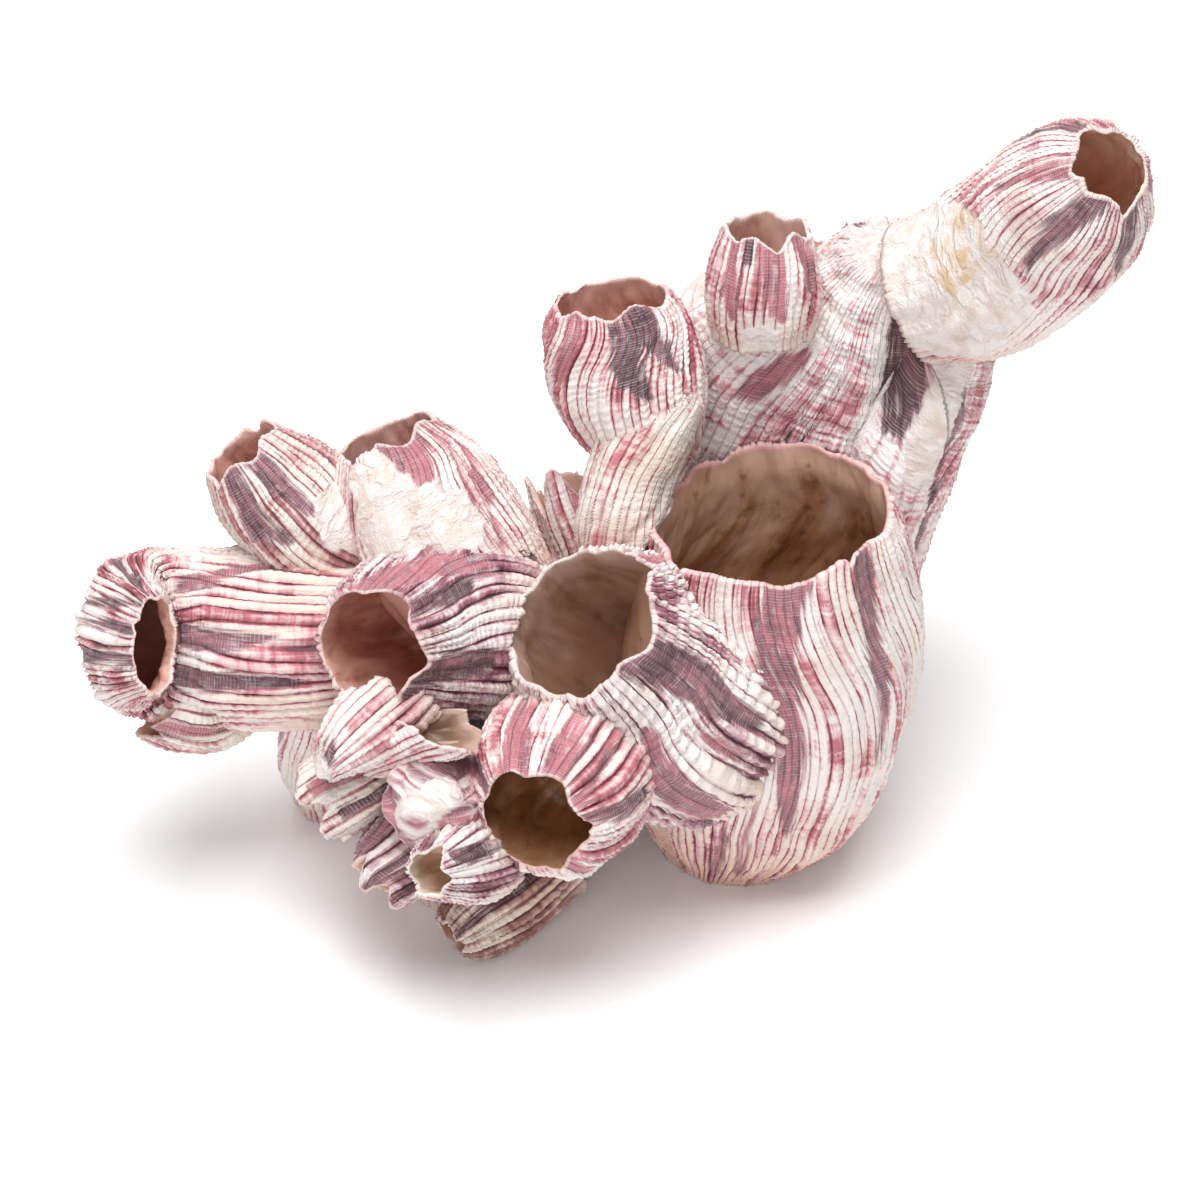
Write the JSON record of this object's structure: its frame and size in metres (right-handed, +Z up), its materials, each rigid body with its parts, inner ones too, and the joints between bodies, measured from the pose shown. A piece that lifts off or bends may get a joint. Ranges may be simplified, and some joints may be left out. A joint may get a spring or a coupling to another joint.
{
  "type": "barnacle cluster",
  "caption": "Clump of large acorn barnacle shells grown over one another, with open tapering cups, ribbed rose-and-white walls and a flat scar underneath that it stands on.",
  "frame": {"origin": "middle of the flat scar under the big cup, where the cluster stood on its rock and where it now stands on a table", "axes": "+X is the cluster's right, along its longest extent; +Z is up, from the scar towards the top shells; -Y is its front, the side the open cups face"},
  "size_m": [0.1379, 0.0878, 0.1053],
  "materials": {
    "big_cup_shell": "matte",
    "left_foot_shell": "matte",
    "core_foot_shell": "matte",
    "rear_foot_shell": "matte",
    "centre_cone_shell": "matte",
    "hood_shell": "matte",
    "top_back_shell": "matte",
    "side_wall_shell": "matte",
    "right_back_shell": "matte",
    "upper_right_shell": "matte",
    "top_small_shell": "matte",
    "top_nub_shell": "matte",
    "upper_left_shell": "matte",
    "broken_back_shell": "matte",
    "back_left_shell": "matte",
    "far_left_shell": "matte",
    "left_cup_shell": "matte",
    "curved_left_shell": "matte",
    "under_left_shell": "matte",
    "front_cup_shell": "matte",
    "front_foot_shell": "matte",
    "broken_base_plate": "matte",
    "tiny_shell": "matte",
    "dark_fragment_shell": "matte",
    "lower_left_shell": "matte",
    "tip_shell": "matte",
    "striped_small_shell": "matte",
    "rear_cup_shell": "matte"
  },
  "bodies": {
    "root": {"big_cup_shell": "big_cup_shell", "left_foot_shell": "left_foot_shell", "core_foot_shell": "core_foot_shell", "rear_foot_shell": "rear_foot_shell", "centre_cone_shell": "centre_cone_shell", "hood_shell": "hood_shell", "top_back_shell": "top_back_shell", "side_wall_shell": "side_wall_shell", "right_back_shell": "right_back_shell", "upper_right_shell": "upper_right_shell", "top_small_shell": "top_small_shell", "top_nub_shell": "top_nub_shell", "upper_left_shell": "upper_left_shell", "broken_back_shell": "broken_back_shell", "back_left_shell": "back_left_shell", "far_left_shell": "far_left_shell", "left_cup_shell": "left_cup_shell", "curved_left_shell": "curved_left_shell", "under_left_shell": "under_left_shell", "front_cup_shell": "front_cup_shell", "front_foot_shell": "front_foot_shell", "broken_base_plate": "broken_base_plate", "tiny_shell": "tiny_shell", "dark_fragment_shell": "dark_fragment_shell", "lower_left_shell": "lower_left_shell", "tip_shell": "tip_shell", "striped_small_shell": "striped_small_shell", "rear_cup_shell": "rear_cup_shell"}
  },
  "joints": []
}
